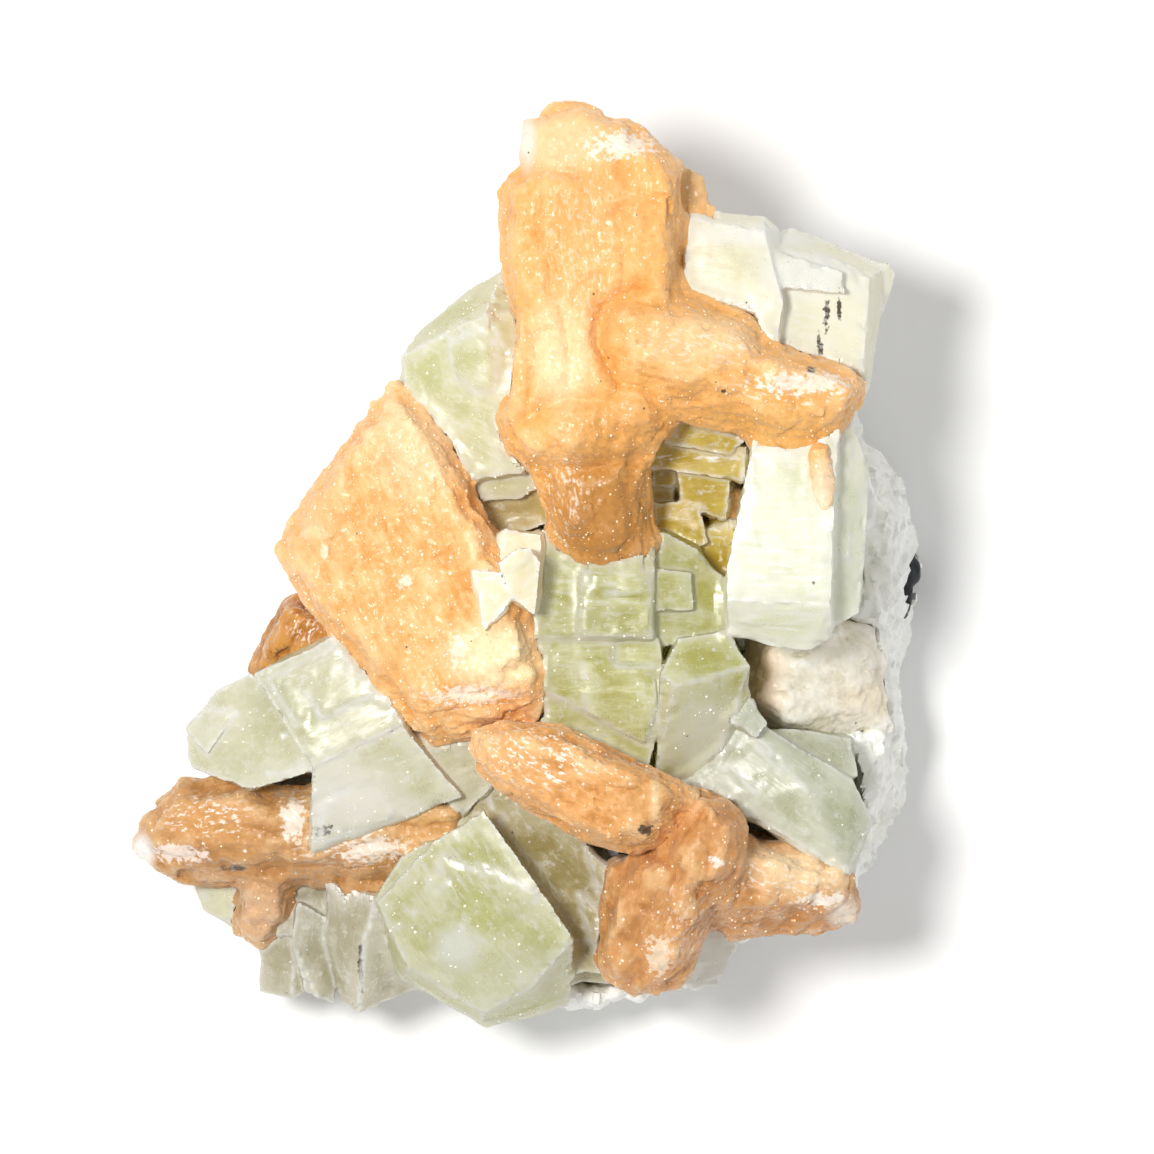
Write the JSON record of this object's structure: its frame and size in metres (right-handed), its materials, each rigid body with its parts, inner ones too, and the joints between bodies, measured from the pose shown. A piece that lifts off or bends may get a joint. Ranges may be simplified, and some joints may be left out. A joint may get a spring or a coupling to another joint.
{
  "type": "stilbite with apophyllite specimen",
  "caption": "Natural mineral specimen: peach stilbite blades and pale green apophyllite blocks on white quartz rock, lying on its flat-cut underside.",
  "frame": {"origin": "middle of the bounding box, on the flat-cut underside", "axes": "+Z out of the rock towards the crystals, +Y along the specimen's length towards the tall stilbite blade"},
  "size_m": [0.0798, 0.0928, 0.0437],
  "materials": {
    "quartz_rock": "rough, sugary white quartz and chalcedony",
    "basalt": "dull, fractured",
    "stilbite": "pearly, finely grained and glittering",
    "stilbite_pink": "pearly, fibrous",
    "stilbite_pale": "satin, fading to white",
    "apophyllite": "clear to milky, glassy faces",
    "apophyllite_pearl": "milky, pearly faces with fine lines",
    "apophyllite_olive": "clear olive, glassy"
  },
  "bodies": {
    "root": {"matrix": "quartz_rock", "basalt_remnant": "basalt", "stilbite_top_cross": "stilbite", "stilbite_left_plate": "stilbite", "stilbite_small_left": "stilbite", "stilbite_lower_bar": "stilbite", "stilbite_bow_tie": "stilbite", "stilbite_lower_left": "stilbite_pink", "stilbite_pocket_blade": "stilbite", "stilbite_pale_fan": "stilbite_pale", "apophyllite_top_right": "apophyllite", "apophyllite_right_column": "apophyllite_pearl", "apophyllite_upper_left": "apophyllite", "apophyllite_pocket_crust": "apophyllite_olive", "apophyllite_centre": "apophyllite", "apophyllite_plate_edge": "apophyllite_pearl", "apophyllite_lower_right": "apophyllite", "apophyllite_left": "apophyllite", "apophyllite_bottom_centre": "apophyllite", "apophyllite_between": "apophyllite", "apophyllite_bottom_left": "apophyllite", "apophyllite_back_left": "apophyllite", "apophyllite_bottom_right": "apophyllite_pearl"}
  },
  "joints": []
}
